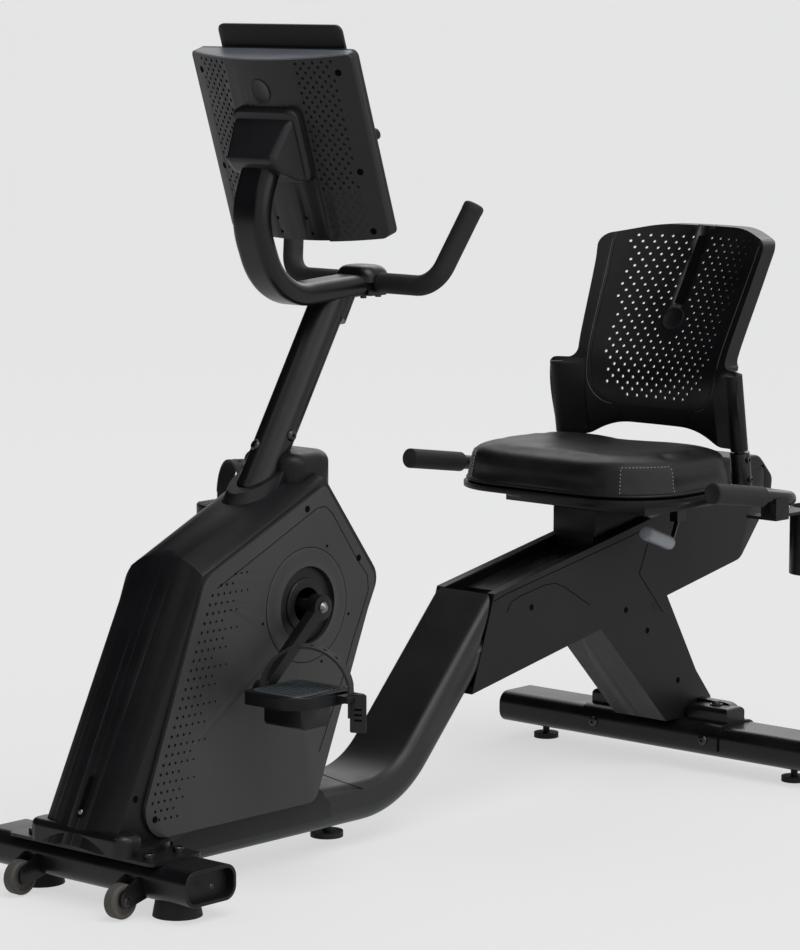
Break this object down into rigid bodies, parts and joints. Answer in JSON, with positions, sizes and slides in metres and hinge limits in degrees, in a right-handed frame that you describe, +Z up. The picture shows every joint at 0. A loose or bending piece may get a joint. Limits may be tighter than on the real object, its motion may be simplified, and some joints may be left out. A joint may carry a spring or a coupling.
{
  "type": "recumbent exercise bike",
  "caption": "Stationary recumbent exercise bike: low frame, enclosed drive, cranks with strapped pedals, sliding seat with moulded back, side handles and tilted console.",
  "frame": {"origin": "on the floor midway along the bike's length, on its mid plane", "axes": "+Y runs from the front stabilizer to the seat back, +Z up, +X to the left of a seated rider"},
  "size_m": [0.687, 1.6667, 1.281],
  "materials": {
    "frame_black": "satin black powder coat",
    "beam_grey": "satin dark grey powder coat",
    "plastic_black": "fine-grained black moulding",
    "cover_grey": "fine-grained dark warm grey moulding",
    "cap_grey": "olive grey moulding",
    "console_grey": "smooth blue-grey moulding",
    "rubber_black": "matt rubber",
    "grip_foam": "matt foam sleeve",
    "wheel_tread": "dull grey-brown plastic rubber",
    "cushion_fabric": "black cover with sewn edge",
    "lever_silver": "silver-grey grip",
    "track_steel": "extruded",
    "arm_black": "satin black",
    "flywheel_iron": "turned",
    "screen_glass": "glossy dark display cover"
  },
  "bodies": {
    "base": {"base_beam": "beam_grey", "clamp_cover": "plastic_black", "console_arm": "frame_black", "console_bezel": "plastic_black", "console_bracket": "plastic_black", "console_knob": "plastic_black", "console_screen": "screen_glass", "console_shell": "plastic_black", "console_top": "console_grey", "crank_bezels": "plastic_black", "drive_shell_left": "plastic_black", "drive_shell_right": "plastic_black", "flywheel": "flywheel_iron", "front_base_plate": "frame_black", "front_end_caps": "plastic_black", "front_feet": "rubber_black", "front_post": "frame_black", "front_stabilizer": "frame_black", "handlebar": "frame_black", "handlebar_clamp": "frame_black", "handlebar_grips": "grip_foam", "leg_cover_left": "plastic_black", "leg_cover_right": "plastic_black", "mast": "frame_black", "media_rack": "plastic_black", "middle_foot": "rubber_black", "rail_cover_left": "cover_grey", "rail_cover_right": "cover_grey", "rail_end_cap": "cap_grey", "rail_track": "track_steel", "rear_base_plate": "frame_black", "rear_end_caps": "plastic_black", "rear_feet": "rubber_black", "rear_leg": "frame_black", "rear_stabilizer": "frame_black", "seat_rail": "frame_black", "side_panels": "cover_grey", "step_cover": "cover_grey", "top_cap": "plastic_black", "wheel_forks": "frame_black"},
    "cranks": {"crank_spindle": "frame_black", "crank_arm_left": "arm_black", "crank_arm_right": "arm_black"},
    "pedal_left": {"pedal_left": "plastic_black", "pedal_strap_left": "rubber_black"},
    "pedal_right": {"pedal_right": "plastic_black", "pedal_strap_right": "rubber_black"},
    "seat": {"seat_carriage": "frame_black", "seat_frame": "frame_black", "seat_pan": "plastic_black", "seat_cushion": "cushion_fabric", "handle_grips": "grip_foam", "bottle_holder": "plastic_black", "adjust_lever": "lever_silver", "seat_back_frame": "plastic_black", "seat_back_panel": "plastic_black"},
    "wheel_left": {"transport_wheel_left": "wheel_tread"},
    "wheel_right": {"transport_wheel_right": "wheel_tread"}
  },
  "joints": [
    {"name": "crank_spin", "type": "hinge", "parent": "base", "child": "cranks", "pos_m": [0, -0.389, 0.406], "axis": [1, 0, 0], "continuous": true},
    {"name": "pedal_spin_left", "type": "hinge", "parent": "cranks", "child": "pedal_left", "pos_m": [0.17, -0.51258, 0.29667], "axis": [1, 0, 0], "continuous": true},
    {"name": "pedal_spin_right", "type": "hinge", "parent": "cranks", "child": "pedal_right", "pos_m": [-0.17, -0.26542, 0.51533], "axis": [1, 0, 0], "continuous": true},
    {"name": "seat_slide", "type": "slide", "parent": "base", "child": "seat", "axis": [0, 0.9816, 0.1908], "range_m": [-0.2, 0.065]},
    {"name": "wheel_spin_left", "type": "hinge", "parent": "base", "child": "wheel_left", "pos_m": [0.107, -0.808, 0.028], "axis": [1, 0, 0], "continuous": true},
    {"name": "wheel_spin_right", "type": "hinge", "parent": "base", "child": "wheel_right", "pos_m": [-0.107, -0.808, 0.028], "axis": [1, 0, 0], "continuous": true}
  ]
}
